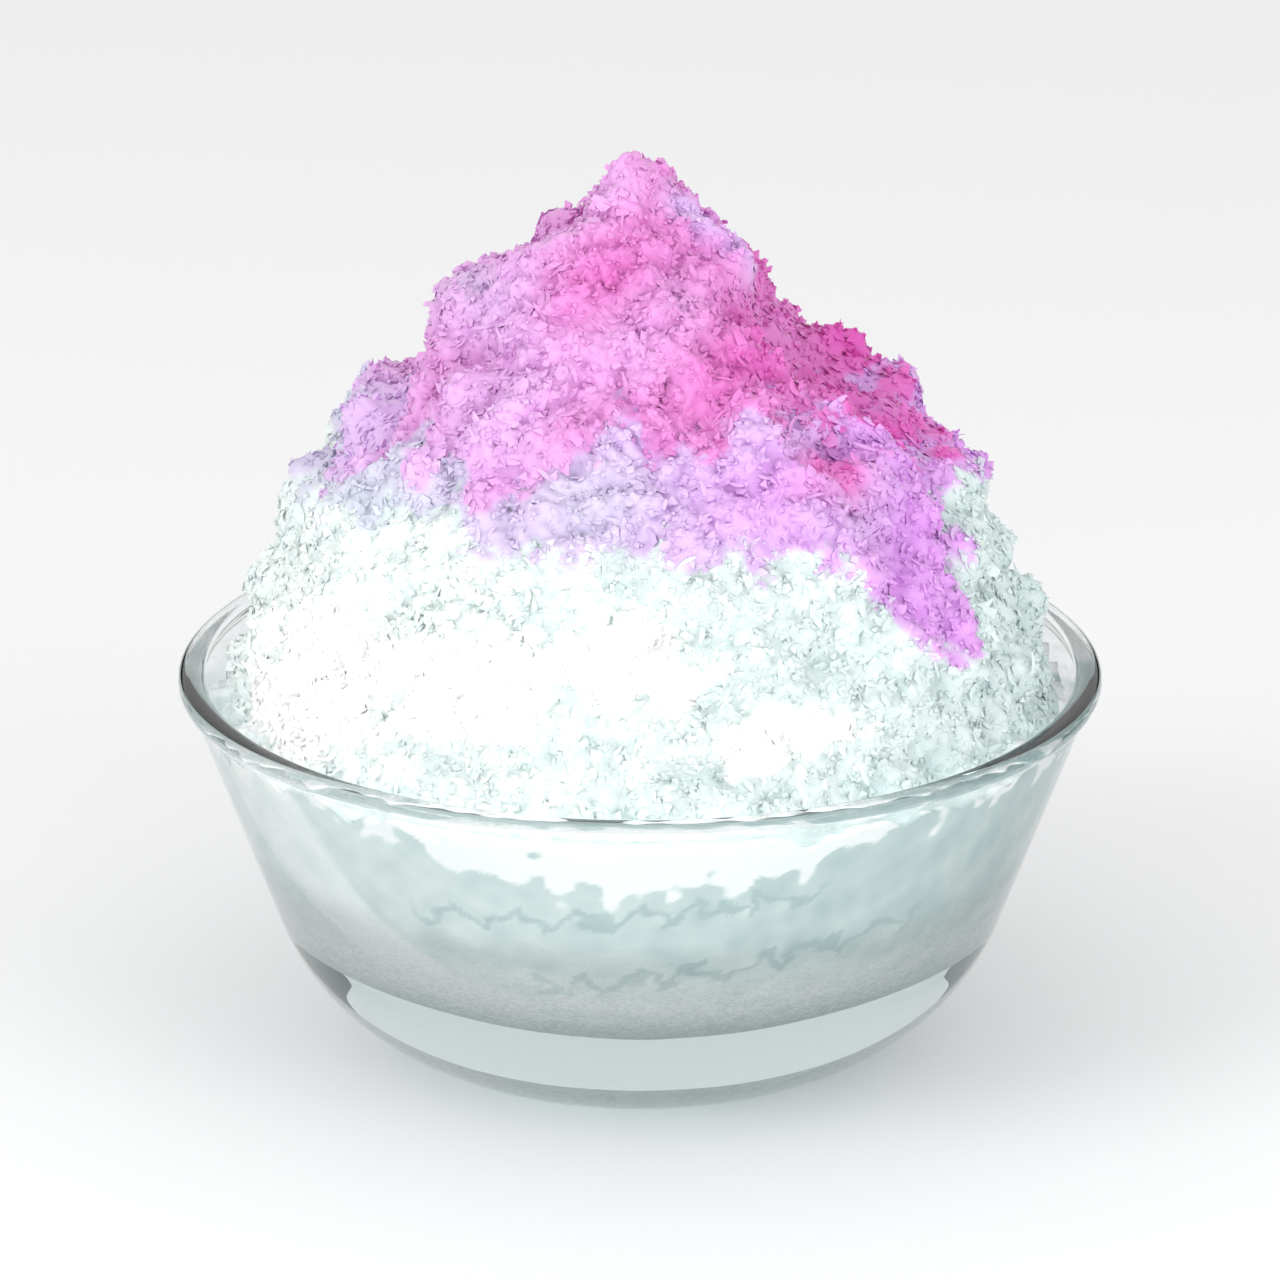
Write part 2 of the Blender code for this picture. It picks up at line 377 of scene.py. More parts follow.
coarse = lumps(mean_rings) + broad_waves(mean_rings)
fine = 1.0 * MM * clumps(mean_rings, 8.0 * MM, 20)
fine += 1.05 * MM * clumps(mean_rings, 5.0 * MM, 21)
fine += 0.60 * MM * clumps(mean_rings, 2.8 * MM, 22)
fine += 0.34 * MM * clumps(mean_rings, 1.5 * MM, 23)
fine += 0.18 * MM * clumps(mean_rings, 0.9 * MM, 24)
from_axis = np.linalg.norm(mean_rings[..., :2], axis=-1)
fine *= 1 - 0.75 * np.exp(-((from_axis / (5 * MM)) ** 2))
share = smooth_step(mean_rings[..., 2], RIM + CONTACT, RIM + CONTACT + 16 * MM)
fine_share = smooth_step(mean_rings[..., 2], RIM + CONTACT - 1 * MM, RIM + CONTACT + 4 * MM)
rise = share * coarse + fine_share * (fine - 0.3 * MM)
mound_rings = mean_rings + normal_rings * rise[..., None]
mound_rings[..., 0] += PEAK_LEAN * np.clip((mean_rings[..., 2] - RIM) / PEAK, 0, 1) ** 2
mound_rings[..., 2] += 1.8 * MM * np.exp(-from_axis / (2.4 * MM))
peak_point = mound_rings[-1].mean(0) + [0, 0, 0.3 * MM]
mound = ring_skin("shaved_ice_heap", mound_rings, (0, 0, HEAP_BOTTOM), peak_point)
print("heap's top at", round(peak_point[2] / MM, 1), "mm")

# %% [markdown]
# Where the syrup is. It was poured over the peak and soaked down, further in some places than in
# others: strong and pink at the top, then a paler lilac edge where only a little reached. It could be
# painted by hand on a texture, but a table of heights for each bearing is easier to change and has no
# seam. The longest tongue runs down at the front right.

# %% The edges of the syrup
# Bearing from +X in degrees, height above the rim in millimetres; -90 is the front.
PINK_EDGE = (
    (-180, 33.0),
    (-161, 33.6),
    (-154, 38.0),
    (-149, 46.0),
    (-144, 50.0),
    (-141, 44.0),
    (-132, 42.4),
    (-123, 39.7),
    (-112, 44.0),
    (-100, 50.5),
    (-90, 52.0),
    (-86, 47.5),
    (-76, 48.0),
    (-63, 53.0),
    (-43, 50.0),
    (-30, 47.5),
    (-24, 43.5),
    (-10, 37.8),
    (5, 36.0),
    (30, 43.0),
    (55, 37.0),
    (80, 46.0),
    (105, 38.0),
    (135, 47.0),
    (160, 40.0),
)
LILAC_EDGE = (
    (-180, 31.0),
    (-159, 33.8),
    (-148, 35.6),
    (-139, 37.0),
    (-136, 35.6),
    (-125, 37.4),
    (-119, 34.5),
    (-104, 35.5),
    (-90, 36.0),
    (-76, 35.0),
    (-60, 33.5),
    (-54, 30.5),
    (-48, 25.0),
    (-44, 18.5),
    (-37, 15.0),
    (-32, 13.4),
    (-29, 21.0),
    (-26, 27.0),
    (-20, 33.5),
    (-9, 35.2),
    (12, 30.0),
    (33, 21.0),
    (50, 31.0),
    (85, 35.0),
    (108, 19.0),
    (124, 32.0),
    (150, 36.0),
    (167, 27.0),
)
# Bearing, height, change in syrup, width: tongues and lobes of pink, then pale places, which are painted
# highlights.
SYRUP_AND_HIGHLIGHT_SPOTS = (
    (-47, 42.5, 0.75, 3.6),
    (-55, 41.5, 0.55, 3.2),
    (176, 61.0, -0.50, 4.0),
    (-174, 71.5, -0.45, 3.0),
    (168, 50.0, -0.50, 3.4),
    (-187, 41.0, -0.40, 2.8),
    (-14, 77.5, -0.50, 3.0),
    (-4, 73.5, -0.50, 3.4),
    (-12, 69.0, -0.45, 3.0),
    (3, 47.5, -0.60, 3.4),
)
lowest = min(LILAC_EDGE, key=lambda pair: pair[1])
print("lowest syrup at", lowest[1], "mm over the rim, bearing", lowest[0])

# %% [markdown]
# From the tables to an amount at each point. The edges wander by a few ripples, and the crumbs break
# them up, because syrup creeps from flake to flake. The strength says how much of what is there is dye:
# the same syrup looks paler on the left, where it spread thin. Its rise to the right is partly a painted
# shade, darker on the side away from the key lamp.


# %% How much syrup, and how strong
def edge_height(bearing, table):
    """Straight lines between the table's heights, closed round the full turn."""
    table = np.array(table)
    return np.interp(bearing, table[:, 0], table[:, 1], period=360)


def syrup_and_highlight_at(points, roughen):
    """How much syrup: 0 is none, 0.5 is the lilac edge, 1 is full pink.

    Half of it comes in over the lilac edge and half over the pink one, each over 3 mm, then the
    listed spots are added: pink tongues, and pale spots that are painted highlights. roughen, in
    metres, moves the edges up and down.
    """
    bearing = np.degrees(np.arctan2(points[..., 1], points[..., 0]))
    height = (points[..., 2] - RIM + roughen) / MM
    wander = 1.4 * ripples(points, 16, 9 * MM, 41) + 0.7 * ripples(points, 16, 4 * MM, 42)
    lilac = smooth_step(height + wander - edge_height(bearing, LILAC_EDGE), -1.5, 1.5)
    pink = smooth_step(height + wander - edge_height(bearing, PINK_EDGE), -1.5, 1.5)
    amount = 0.5 * lilac + 0.5 * pink
    # Positive spots are pink tongues; negative ones are pale painted highlights.
    for turned, up, change, width in SYRUP_AND_HIGHLIGHT_SPOTS:
        distance = np.linalg.norm(points - place(turned, up), axis=-1) / (width * MM)
        amount = amount + change * np.exp(-(distance**2) / 2) * lilac
    return np.clip(amount, 0, 1)


def strength_at(points):
    """From 0 on the left, where the syrup is thin, to 1 on the right, where most of it ran; partly a painted
    shade on the right.
    """
    return np.clip(0.56 + points[..., 0] / (105 * MM) + 0.10 * ripples(points, 16, 22 * MM, 43), 0, 1)


print("syrup on the peak:", syrup_and_highlight_at(place(-90, 84.0), 0.0).round(2))

# %% [markdown]
# The ice with no syrup is white where it is dry and faintly blue-green where it melts, since water
# fills the air gaps that made it white. The dry patches are ovals with ragged edges, and they are also
# painted highlights. The ice is painted wetter and darker towards the right, a painted shade. Four
# numbers for each point are enough to tell the material everything: syrup, strength, melt, and
# crease shade, which is how deep the point lies in a crease and is painted shade there.

# %% Where the ice is wet
# Bearing, height, width along and width up of dry white patches, which are also painted highlights.
DRY_HIGHLIGHT_PATCHES = (
    (-142, 13.0, 17.0, 8.5),
    (-118, 14.0, 15.0, 8.0),
    (-92, 20.0, 10.0, 6.5),
    (-69, 8.5, 13.0, 4.2),
    (-152, 3.0, 15.0, 6.0),
    (60, 12.0, 17.0, 8.0),
    (128, 10.0, 15.0, 7.0),
)


def melt_at(points):
    """How wet the ice is: a middling value, less in the dry patches, more where the waves say so.

    The dry patches are also painted highlights, and the rise towards +X is a painted shade.
    """
    bearing = np.degrees(np.arctan2(points[..., 1], points[..., 0]))
    height = (points[..., 2] - RIM) / MM
    ragged = 0.22 * ripples(points, 16, 11 * MM, 51) + 0.16 * ripples(points, 16, 5 * MM, 52)
    # The dry patches: whiter ice that also stands as painted highlights.
    dry_and_highlight = np.zeros(points.shape[:-1])
    for turned, up, across, tall in DRY_HIGHLIGHT_PATCHES:
        aside = (bearing - turned + 180) % 360 - 180
        radius = np.sqrt((aside / across) ** 2 + ((height - up) / tall) ** 2)
        dry_and_highlight = np.maximum(dry_and_highlight, smooth_step(-radius + 0.8 * ragged, -1.15, -0.75))
    # The rise towards +X is painted shade: wetter and darker on the side away from the key lamp.
    return np.clip(0.52 + 0.16 * points[..., 0] / (60 * MM) + 0.20 * ragged - 0.6 * dry_and_highlight, 0, 1)


def dress(piece, points, hollow, roughen=0.0):
    """Stores syrup, strength, melt and hollow, a painted shade 0.35 deep in a crease."""
    store(
        piece,
        syrup=syrup_and_highlight_at(points, roughen),
        strength=strength_at(points),
        melt=melt_at(points) * (1 - syrup_and_highlight_at(points, roughen)),
        hollow=hollow,
    )


all_points = np.concatenate([mound_rings.reshape(-1, 3), [(0, 0, HEAP_BOTTOM), peak_point]])
# Painted shade in the creases: up to 0.35 where the fine relief sinks 1.3 mm.
hollows = np.append(0.35 * smooth_step(-fine, 0.0, 1.3 * MM).ravel(), [0, 0])
dress(mound, all_points, hollows, np.append(1.2 * fine.ravel(), [0, 0]))
print("share with syrup", round(float((syrup_and_highlight_at(all_points, 0) > 0.25).mean()), 2))

# %% [markdown]
# The ice in the bowl is packed against the glass. A copy of the bowl's inner wall is its side, and it
# reaches a fifth of a millimetre into the glass, so that light goes straight from glass to ice, as it
# does where meltwater fills the last gap. Its top edge is ragged, for ice never sits level on glass.

# %% The ice in the bowl
WALL_REACH = 0.2 * MM
PACKED_COLUMNS, PACKED_ROWS, CAP_ROWS = 560, 150, 14
wall_line = even_steps(inner_wall(WALL_REACH), 0.1 * MM)
wall_length = np.arange(len(wall_line)) * 0.1 * MM
around = np.linspace(0, 2 * np.pi, PACKED_COLUMNS, endpoint=False)
ring = np.stack([np.cos(around), np.sin(around), 0 * around], -1)
edge_wander = 0.9 * ripples(0.066 * ring, 16, 14 * MM, 61) + 0.6 * ripples(0.066 * ring, 16, 5 * MM, 62)
edge = RIM + CONTACT + 0.8 * MM + 0.8 * MM * edge_wander
edge_at = np.interp(edge, wall_line[:, 1], wall_length)
down = np.linspace(0, 1, PACKED_ROWS + 1)[1:, None] * edge_at
wall_radius = np.interp(down, wall_length, wall_line[:, 0])
wall_height = np.interp(down, wall_length, wall_line[:, 1])
inward = np.linspace(0, 1, CAP_ROWS + 1)[1:-1, None]
cap_radius = wall_radius[-1] * (1 - inward)
cap_height = wall_height[-1] + 0.7 * MM * np.sin(np.pi * np.minimum(inward * 4, 1)) - 2 * MM * inward
radii = np.concatenate([wall_radius, cap_radius])
heights = np.concatenate([wall_height, cap_height])
packed_rings = np.stack([radii * np.cos(around), radii * np.sin(around), heights], -1)
cap_middle = (0, 0, float(cap_height[-1].mean()))
packed = ring_skin("packed_ice_in_bowl", packed_rings, (0, 0, wall_line[0, 1]), cap_middle)

# %% [markdown]
# What shows through the glass is how wet the packed ice is: white along its top, blue-green below,
# with a painted shade that makes it wetter and darker to the right, and painted light that makes it
# whiter near the bottom. Zigzag bands of wetter ice are a painted shade of grooves between two
# pressings, and a pale streak down the left is a painted reflection of a bright band on the glass. All of
# it is a number for each point, worked out from its bearing and height.

# %% Wet and dry ice behind the glass
# Where the dry white top comes lower: bearing, half width in degrees, how much lower in millimetres.
WHITE_TOPS = ((-92, 40, 8.0), (30, 30, 6.0), (120, 36, 9.0))
# Zigzag bands of wetter, darker ice, a painted shade of grooves between pressings: bearing and height at
# each end, and half width, in degrees and millimetres.
GROOVE_SHADE_BANDS = ((-126, 43, -62, 50, 1.1), (-112, 31, -44, 40, 1.1), (40, 34, 110, 45, 1.1))


def packed_melt(points):
    """How wet the packed ice is, white near its top edge, with painted light and shade laid in as wetness.
    """
    bearing = np.degrees(np.arctan2(points[..., 1], points[..., 0]))
    height = points[..., 2] / MM
    wander = ripples(points, 16, 9 * MM, 71) + 0.6 * ripples(points, 16, 4 * MM, 72)
    white_edge = 60 + 1.6 * wander
    for middle, half, deep in WHITE_TOPS:
        aside = (bearing - middle + 180) % 360 - 180
        white_edge = white_edge - deep * smooth_step(-np.abs(aside), -half, 0.4 * -half)
    # The rise towards +X is painted shade: wetter and darker on the side away from the key lamp.
    wet_and_shade = 0.70 + 0.16 * points[..., 0] / (60 * MM) + 0.05 * wander
    # A paler streak down the left: a painted reflection of a bright band on the glass.
    reflection_streak_at = -150 + 0.75 * (58 - height) + 4 * np.sin(height / 9)
    wet_and_shade = wet_and_shade - 0.34 * smooth_step(-np.abs(bearing - reflection_streak_at), -11, -8)
    # Drier and whiter below 40 mm: painted light against the shade behind the base.
    wet_and_shade = wet_and_shade - 0.62 * smooth_step(-height, -40, -26)
    wet_and_shade = wet_and_shade - wet_and_shade * smooth_step(height - white_edge, -0.35, 0.35)
    # Wetter zigzag bands: a painted shade of grooves between pressed clumps.
    for start, low, stop, high, half in GROOVE_SHADE_BANDS:
        share = (bearing - start) / (stop - start)
        zigzag = 4.2 * (np.abs((bearing / 4.5 + 0.25 * wander) % 2 - 1) - 0.5)
        away = height - (low + (high - low) * share + zigzag)
        inside = smooth_step(share, 0, 0.08) * smooth_step(-share, -1, -0.92)
        wet_and_shade = wet_and_shade + 0.30 * inside * smooth_step(-np.abs(away), -half, -0.7 * half)
    return np.clip(wet_and_shade, 0, 1)


packed_points = np.concatenate(
    [packed_rings.reshape(-1, 3), [(0, 0, wall_line[0, 1]), cap_middle]]
)
no_syrup = np.zeros(len(packed_points))
packed_wetness_and_shade = packed_melt(packed_points)
store(packed, syrup=no_syrup, strength=no_syrup, melt=packed_wetness_and_shade, hollow=no_syrup)
print("mean wetness", round(float(packed_wetness_and_shade.mean()), 2))

# %% [markdown]
# Loose shavings lie over the heap and make its outline ragged. There are three kinds: thin curled
# flakes, long slivers, and small grains. A particle system could spread them, but here each kind is
# one array: every copy of a small shape, stretched, bent, turned and set on the surface by its own
# random numbers. That keeps them real geometry, which costs little when a shape has only a few faces.


# %% Scattering over the heap
def surface_places(count, seed):
    """Random places on the heap above the glass: where, which way is out, and the generator used.

    Each cell of the ring grid is as likely as its area; the place is a random mix of its corners.
    """
    random = np.random.default_rng(seed)
    grid = np.concatenate([mound_rings, mound_rings[:, :1]], 1)
    a, b, c, d = grid[:-1, :-1], grid[:-1, 1:], grid[1:, 1:], grid[1:, :-1]
    facing = np.cross(c - a, d - b)
    area = np.linalg.norm(facing, axis=-1)
    area = area * (mean_rings[:-1, :, 2] > RIM + CONTACT + 2 * MM)
    chosen = random.choice(area.size, count, p=(area / area.sum()).ravel())
    row, column = np.unravel_index(chosen, area.shape)
    u, v = random.uniform(size=(2, count, 1))
    corners = [corner[row, column] for corner in (a, b, c, d)]
    weights = ((1 - u) * (1 - v), u * (1 - v), u * v, (1 - u) * v)
    where = sum(w * corner for w, corner in zip(weights, corners))
    smooth_out = normal_rings[row, column]
    out = facing[row, column] / area.clip(1e-12)[row, column][:, None]
    out = 0.5 * out + 0.8 * smooth_out
    return where, out / np.linalg.norm(out, axis=1)[:, None], random


def frames(out, tilt, random):
    """Three axes for each piece: a random heading, and out leaned over at random by about tilt (radians)."""
    lean = out + np.tan(tilt) * random.normal(size=out.shape) * 0.6
    up = lean / np.linalg.norm(lean, axis=1)[:, None]
    side = np.cross(up, random.normal(size=out.shape))
    side /= np.linalg.norm(side, axis=1)[:, None]
    return side, np.cross(up, side), up


def scatter(name, shape, faces, where, axes, seed):
    """One mesh of many copies: each copy's (x, y, z) laid along its three axes from its place."""
    placed = where[:, None] + sum(shape[..., k, None] * axes[k][:, None] for k in range(3))
    copies, corners, _ = placed.shape
    index = (np.arange(copies) * corners)[:, None, None] + np.array(faces)[None]
    made = new_piece(name, placed.reshape(-1, 3), index.reshape(-1, len(faces[0])).tolist(), False)
    random = np.random.default_rng(seed)
    spread = np.repeat(random.normal(size=copies), corners)
    points = np.repeat(where, corners, 0)
    dress(made, points, np.zeros(len(points)), 0.7 * MM * spread)
    return made


cells = (ROWS - 1) * COLUMNS
print("the heap has", cells, "cells to choose a place from")

# %% [markdown]
# A flake is what one pass of the blade lifts: a thin scrap a millimetre or two long, with six uneven
# corners, thicker in its middle and curled along its length. Most lie nearly flat on the heap and some
# stand up from it, which is what breaks the outline.

# %% Flakes
FLAKES = 10000
where, out, random = surface_places(FLAKES, 81)
length = random.gamma(6, 0.30, FLAKES).clip(0.8, 3.6)[:, None] * MM
width = length * random.uniform(0.45, 0.85, (FLAKES, 1))
corner_angle = np.linspace(0, 2 * np.pi, 6, endpoint=False) + random.uniform(-0.35, 0.35, (FLAKES, 6))
corner_reach = random.uniform(0.32, 0.58, (FLAKES, 6))
flake_x = np.concatenate([length * corner_reach * np.cos(corner_angle), np.zeros((FLAKES, 2))], 1)
flake_y = np.concatenate([width * corner_reach * np.sin(corner_angle), np.zeros((FLAKES, 2))], 1)
curl = random.uniform(-0.10, 0.22, (FLAKES, 1)) / MM
flake_z = curl * flake_x**2 * 0.6
flake_z[:, 6] += 0.16 * MM
flake_z[:, 7] -= 0.16 * MM
FLAKE_FACES = [(i, (i + 1) % 6, 6) for i in range(6)] + [((i + 1) % 6, i, 7) for i in range(6)]
lift = random.uniform(-0.20, 0.30, (FLAKES, 1)) * MM
flakes = scatter(
    "ice_flakes",
    np.stack([flake_x, flake_y, flake_z], -1),
    FLAKE_FACES,
    where + out * lift,
    frames(out, 0.42, random),
    82,
)

# %% [markdown]
# A sliver is a thin strip that the blade peeled off, two to four millimetres long. It is built like a
# boat: five narrow diamond sections in a row, smaller towards both ends, bent into an arc and swayed to
# one side. There are few of them, since too many would look like straw.

# %% Slivers
SLIVERS, SECTIONS = 1900, 5
where, out, random = surface_places(SLIVERS, 91)
t = np.linspace(-1, 1, SECTIONS)
length = random.uniform(1.8, 4.2, (SLIVERS, 1)) * MM
half_width = random.uniform(0.30, 0.60, (SLIVERS, 1)) * MM * (1 - 0.75 * t**2)
half_thick = 0.13 * MM * (1 - 0.5 * t**2) + 0 * length
bow = random.uniform(-0.10, 0.24, (SLIVERS, 1)) * length
centre_x, centre_z = length / 2 * t, bow * t**2
sway = random.uniform(-0.15, 0.15, (SLIVERS, 1)) * length * t**2
zero = 0 * centre_x
sections = [
    np.stack([centre_x, sway + half_width, centre_z], -1),
    np.stack([centre_x, sway + zero, centre_z + half_thick], -1),
    np.stack([centre_x, sway - half_width, centre_z], -1),
    np.stack([centre_x, sway + zero, centre_z - half_thick], -1),
]
sliver_shape = np.stack(sections, 2).reshape(SLIVERS, SECTIONS * 4, 3)
SLIVER_FACES = [(0, 3, 2), (0, 2, 1), (16, 17, 18), (16, 18, 19)]
for i in range(SECTIONS - 1):
    for k in range(4):
        a, b = 4 * i + k, 4 * i + (k + 1) % 4
        SLIVER_FACES += [(a, b, b + 4), (a, b + 4, a + 4)]
slivers = scatter(
    "ice_slivers",
    sliver_shape,
    SLIVER_FACES,
    where + out * random.uniform(-0.3, 0.4, (SLIVERS, 1)) * MM,
    frames(out, 0.35, random),
    92,
)

# %% [markdown]
# A grain is a crumb of ice about a millimetre across. Eight faces are enough at that size, once
# its six corners are pulled in and out and a little aside, so that no two crumbs look alike. Grains
# lie anyhow, so their tilt is large.

# %% Grains
GRAINS = 14000
where, out, random = surface_places(GRAINS, 101)
size = random.gamma(5, 0.11, (GRAINS, 1, 1)).clip(0.25, 1.1) * MM
OCTAHEDRON = np.array([(1, 0, 0), (0, 1, 0), (-1, 0, 0), (0, -1, 0), (0, 0, 1), (0, 0, -1)])
grain_shape = size * OCTAHEDRON * random.uniform(0.55, 1.25, (GRAINS, 6, 1))
grain_shape = grain_shape + size * random.uniform(-0.25, 0.25, (GRAINS, 6, 3))
GRAIN_FACES = [(i, (i + 1) % 4, 4) for i in range(4)] + [((i + 1) % 4, i, 5) for i in range(4)]
grains = scatter(
    "ice_grains",
    grain_shape,
    GRAIN_FACES,
    where + out * random.uniform(-0.1, 0.35, (GRAINS, 1)) * MM,
    frames(out, 1.2, random),
    102,
)

# %% [markdown]
# One small function adds a node with its settings and its links; everything else about a material is
# a list of such nodes. An input takes either a value or another node's output.


# %% Adding nodes
def add(tree, kind, inputs=None, stops=None, **settings):
    """A new node: its settings, then each input set to a value or linked to an output.

    stops are a colour ramp's (position, linear colour) pairs.
    """
    made = tree.nodes.new(kind)
    for key, value in settings.items():
        setattr(made, key, value)
    for key, value in (inputs or {}).items():
        if isinstance(value, bpy.types.NodeSocket):
            tree.links.new(value, made.inputs[key])
        else:
            made.inputs[key].default_value = value
    if stops:
        ramp = made.color_ramp.elements
        while len(ramp) < len(stops):
            ramp.new(1.0)
        for element, (position, colour) in zip(ramp, stops):
            element.position, element.color = position, colour
    return made


def new_material(name):
    """An empty node material and its tree."""
    material = bpy.data.materials.new(name)
    material.use_nodes = True
    material.node_tree.nodes.clear()
    return material, material.node_tree


# %% [markdown]
# Clear soda-lime glass, pressed and fire-polished. It bends light by an index of 1.52. A pane of it
# looks colourless, but a little iron takes out red light along a long path, so the thick base and the
# rim look faintly blue-green: that is an absorption through the body, not a colour on the surface. The
# mould leaves the faintest waviness. Lamps reach what is behind the glass through the shadow mix.

# %% Pressed soda-lime glass
glass, tree = new_material("pressed_soda_lime_glass")
where_on = add(tree, "ShaderNodeTexCoord").outputs["Object"]
mould_waves = add(
    tree,
    "ShaderNodeTexNoise",
    {"Vector": where_on, "Scale": 1 / (14 * MM), "Detail": 1.0},
)
waviness = add(
    tree,
    "ShaderNodeBump",
    {"Height": mould_waves.outputs["Fac"], "Strength": 0.25, "Distance": 0.05 * MM},
)
body = add(
    tree,
    "ShaderNodeBsdfPrincipled",
    {
        "Base Color": linear("FCFEFE"),
        "Roughness": 0.0,
        "IOR": 1.52,
        "Transmission Weight": 1.0,
        "Normal": waviness.outputs["Normal"],
    },
)
ray = add(tree, "ShaderNodeLightPath")
clear = add(tree, "ShaderNodeBsdfTransparent", {"Color": linear("F2F8F8")})
mixed = add(
    tree,
    "ShaderNodeMixShader",
    {0: ray.outputs["Is Shadow Ray"], 1: body.outputs["BSDF"], 2: clear.outputs["BSDF"]},
)
tint = add(tree, "ShaderNodeVolumeAbsorption", {"Color": linear("A8C8C6"), "Density": 5.0})
add(
    tree,
    "ShaderNodeOutputMaterial",
    {"Surface": mixed.outputs["Shader"], "Volume": tint.outputs["Volume"]},
)
bowl.data.materials.append(glass)
print(glass.name, "has", len(tree.nodes), "nodes")

# %% [markdown]
# Shaved ice is a mass of tiny clear flakes with air between. Each flake is clear, but light crosses so
# many of them that the mass comes out white, like snow. Subsurface scattering could draw that journey,
# but it is slow on so many small pieces, so the body is a bright matt white and its creases are lit by
# several bounces, with a painted shade on top that deepens the colour in them. Syrup and meltwater fill
# the air gaps, so where they are the ice is darker, more coloured and glossier. Cells half a millimetre
# across each tip the shine their own way, like the faces of crystals.


# %% Shaved ice, plain and syruped
def shaved_ice(name, grain_height):
    """The ice's finish from each point's syrup, strength, melt and hollow, which carry painted light and
    shade.
    """
    material, tree = new_material(name)
    where_on = add(tree, "ShaderNodeTexCoord").outputs["Object"]
    read = {
        key: add(tree, "ShaderNodeAttribute", attribute_name=key).outputs["Fac"]
        for key in ("syrup", "strength", "melt", "hollow")
    }
    # Thin syrup goes from a greyish lilac to a pale pink, thick syrup from lilac to a strong pink; the mix
    # between them also carries a painted shade, thicker to the right.
    thin = add(
        tree,
        "ShaderNodeValToRGB",
        {"Fac": read["syrup"]},
        [(0.0, linear("FFFFFF")), (0.5, linear("D8DAE8")), (1.0, linear("E2C0EE"))],
    )
    thick = add(
        tree,
        "ShaderNodeValToRGB",
        {"Fac": read["syrup"]},
        [(0.0, linear("FFFFFF")), (0.5, linear("ECA8F2")), (1.0, linear("DE5CBA"))],
    )
    syrup = add(
        tree,
        "ShaderNodeMix",
        {0: read["strength"], 6: thin.outputs["Color"], 7: thick.outputs["Color"]},
        data_type="RGBA",
    )
    # Dry ice is white, half-melted ice a very pale blue-green, and soaked ice a cool grey-green; the wetness
    # read here also holds painted light and shade.
    water = add(
        tree,
        "ShaderNodeValToRGB",
        {"Fac": read["melt"]},
        [(0.0, linear("FFFFFF")), (0.45, linear("E6F0EE")), (1.0, linear("B5CACA"))],
    )
    stained = add(
        tree,
        "ShaderNodeMix",
        {0: 1.0, 6: water.outputs["Color"], 7: syrup.outputs[2]},
        data_type="RGBA",
        blend_type="MULTIPLY",
    )
    # Painted shade in creases: the colour multiplied by itself as far as the crease shade goes.
    crease_shaded = add(
        tree,
        "ShaderNodeMix",
        {0: read["hollow"], 6: stained.outputs[2], 7: stained.outputs[2]},
        data_type="RGBA",
        blend_type="MULTIPLY",
    )
    crystals = add(
        tree,
        "ShaderNodeTexVoronoi",
        {"Vector": where_on, "Scale": 1 / (0.5 * MM)},
    )
    frost = add(
        tree,
        "ShaderNodeTexNoise",
        {"Vector": where_on, "Scale": 1 / (0.7 * MM), "Detail": 1.0},
    )
    relief = add(
        tree,
        "ShaderNodeBump",
        {"Height": frost.outputs["Fac"], "Strength": 0.6, "Distance": grain_height},
    )
    centred = add(
        tree,
        "ShaderNodeVectorMath",
        {0: crystals.outputs["Color"], 1: (0.5, 0.5, 0.5)},
        operation="SUBTRACT",
    )
    facet = add(
        tree,
        "ShaderNodeVectorMath",
        {0: centred.outputs["Vector"], 1: (0.7, 0.7, 0.7), 2: relief.outputs["Normal"]},
        operation="MULTIPLY_ADD",
    )
    facet_way = add(tree, "ShaderNodeVectorMath", {0: facet.outputs["Vector"]}, operation="NORMALIZE")
    wet_gloss = add(
        tree,
        "ShaderNodeMapRange",
        {"Value": read["syrup"], "To Min": 0.48, "To Max": 0.30},
    )
    body = add(
        tree,
        "ShaderNodeBsdfPrincipled",
        {
            "Base Color": crease_shaded.outputs[2],
            "Roughness": wet_gloss.outputs["Result"],
            "IOR": 1.31,
            "Normal": relief.outputs["Normal"],
            "Coat Weight": 0.5,
            "Coat Roughness": 0.16,
            "Coat IOR": 1.33,
            "Coat Normal": facet_way.outputs["Vector"],
        },
    )
    add(tree, "ShaderNodeOutputMaterial", {"Surface": body.outputs["BSDF"]})
    return material


packed_snow = shaved_ice("shaved_ice_packed", 0.16 * MM)
loose_snow = shaved_ice("shaved_ice_loose_shavings", 0.06 * MM)
for piece in (mound, packed):
    piece.data.materials.append(packed_snow)
for piece in (flakes, slivers, grains):
    piece.data.materials.append(loose_snow)
print(packed_snow.name, "and", loose_snow.name, "have", len(loose_snow.node_tree.nodes), "nodes each")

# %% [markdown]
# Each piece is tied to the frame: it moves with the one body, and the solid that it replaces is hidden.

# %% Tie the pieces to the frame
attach(bowl, "root")
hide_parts("glass_bowl")
for piece in (mound, packed, flakes, slivers, grains):
    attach(piece, "root")
    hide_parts("shaved_ice")
print("ice pieces:", ", ".join(piece.name for piece in (mound, packed, flakes, slivers, grains)))

# %% [markdown]
# A pale studio: a wide white floor, an even white sky, one large soft lamp from the front left as the
# key, a weaker one from the right, and a long low strip in front that lights the ice behind the glass.
# Clear glass shows only what it bends into view, so an evenly white room would hide it. Three dark
# boards give its edges their dark lines. Only bent and mirrored light sees them, so they cast no shade
# on the ice or the floor.


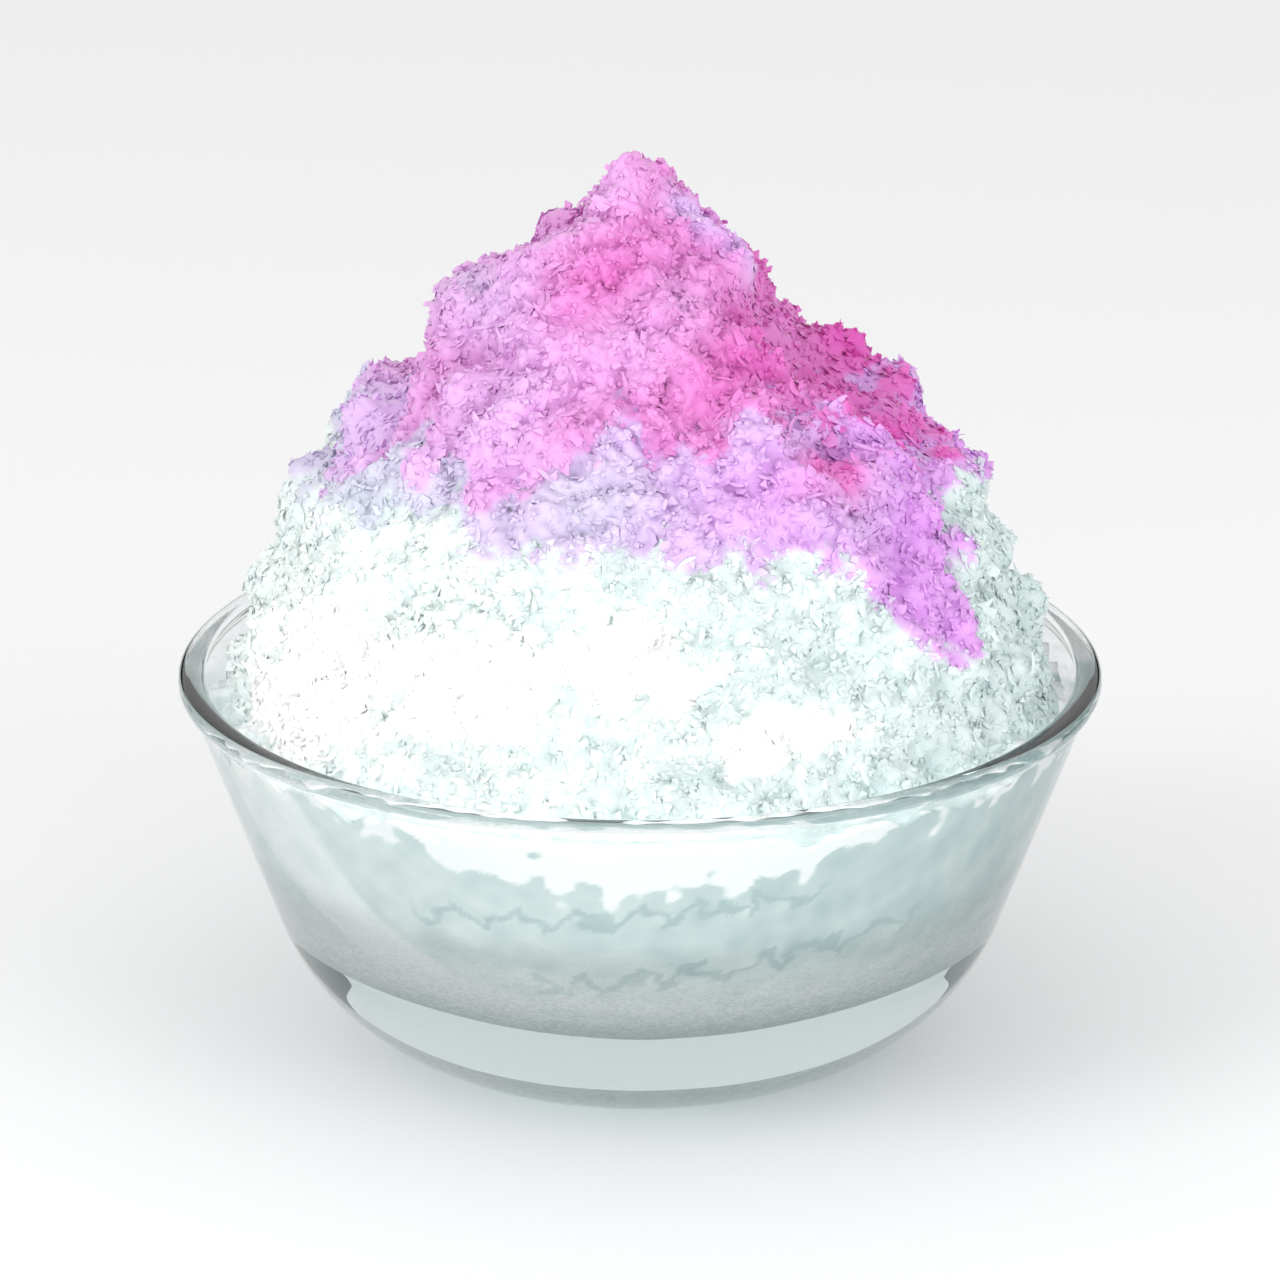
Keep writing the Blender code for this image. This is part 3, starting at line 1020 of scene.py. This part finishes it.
# %% The floor, the boards and the lamps
def board(name, corners, colour):
    """A flat four-sided sheet of matt card through its corners."""
    sheet = new_piece(name, np.array(corners, float), [(0, 1, 2, 3)])
    material, tree = new_material("matt_card_of_" + name)
    card = add(
        tree,
        "ShaderNodeBsdfPrincipled",
        {"Base Color": linear(colour), "Roughness": 0.9, "Specular IOR Level": 0.1},
    )
    add(tree, "ShaderNodeOutputMaterial", {"Surface": card.outputs["BSDF"]})
    sheet.data.materials.append(material)
    return sheet


def lamp(name, place_at, power, width, height):
    """A white area lamp at a place, facing the bowl, unseen by the camera."""
    light = bpy.data.lights.new(name, "AREA")
    light.energy, light.shape, light.size, light.size_y = power, "RECTANGLE", width, height
    made = bpy.data.objects.new(name, light)
    made.location = place_at
    made.rotation_euler = (Vector(place_at) - Vector((0, 0, 0.06))).to_track_quat("Z", "Y").to_euler()
    made.visible_camera = False
    bpy.context.scene.collection.objects.link(made)


def glass_board(name, start, end, low, high, colour):
    """An upright board over the line from start to end, seen only in and through the glass."""
    (x, y), (u, v) = start, end
    made = board(name, [(x, y, low), (u, v, low), (u, v, high), (x, y, high)], colour)
    made.visible_camera = made.visible_diffuse = made.visible_shadow = False


glass_board("grey_board_left", (-0.6, -0.7), (-0.6, 0.5), 0.0, 0.6, "404244")
glass_board("grey_board_right", (0.5, -0.7), (0.5, 0.5), 0.0, 0.6, "2E3032")
glass_board("grey_board_back", (-0.8, 0.8), (0.8, 0.8), 0.06, 0.20, "3A4A4A")
FLOOR = -0.15 * MM  # a hair under the foot ring, so that the two faces never coincide
board("pale_floor", [(-4, -4, FLOOR), (4, -4, FLOOR), (4, 4, FLOOR), (-4, 4, FLOOR)], "F4F4F5")
lamp("key_left", (-0.75, -0.55, 0.75), 3.4, 0.55, 0.55)
lamp("fill_right", (0.6, -0.6, 0.5), 2.0, 0.5, 0.5)
lamp("low_strip_front", (0.0, -0.9, 0.12), 2.3, 0.9, 0.2)
world = bpy.data.worlds.new("studio_sky")
world.use_nodes = True
world.node_tree.nodes["Background"].inputs["Color"].default_value = linear("FFFFFF")
world.node_tree.nodes["Background"].inputs["Strength"].default_value = 0.86
scene = bpy.context.scene
scene.world = world
scene.view_settings.view_transform = "Standard"
scene.cycles.max_bounces = 12
scene.cycles.diffuse_bounces = 3
scene.cycles.transmission_bounces = 12
scene.cycles.glossy_bounces = 4

# %% [markdown]
# The camera looks down on the dessert by about twenty degrees through a long lens, so that the rim is
# a flat oval and the near and far edges of the bowl look the same size.

# %% The camera
ELEVATION = math.radians(19.7)
DISTANCE = 1.2
WIDTH_IN_FRAME = 0.722  # the rim's share of the picture's width
SENSOR = 36.0
AIM_HEIGHT = 68.6 * MM
camera_data = bpy.data.cameras.new("camera")
camera_data.sensor_width = SENSOR
camera_data.lens = WIDTH_IN_FRAME * SENSOR * DISTANCE / (2 * RIM_RADIUS)
camera_data.clip_start = 0.01
camera = bpy.data.objects.new("camera", camera_data)
toward_camera = Vector((0, -math.cos(ELEVATION), math.sin(ELEVATION)))
camera.location = Vector((0, 0, AIM_HEIGHT)) + toward_camera * DISTANCE
camera.rotation_euler = toward_camera.to_track_quat("Z", "Y").to_euler()
scene.collection.objects.link(camera)
scene.camera = camera
print("lens", round(camera_data.lens, 1), "mm")
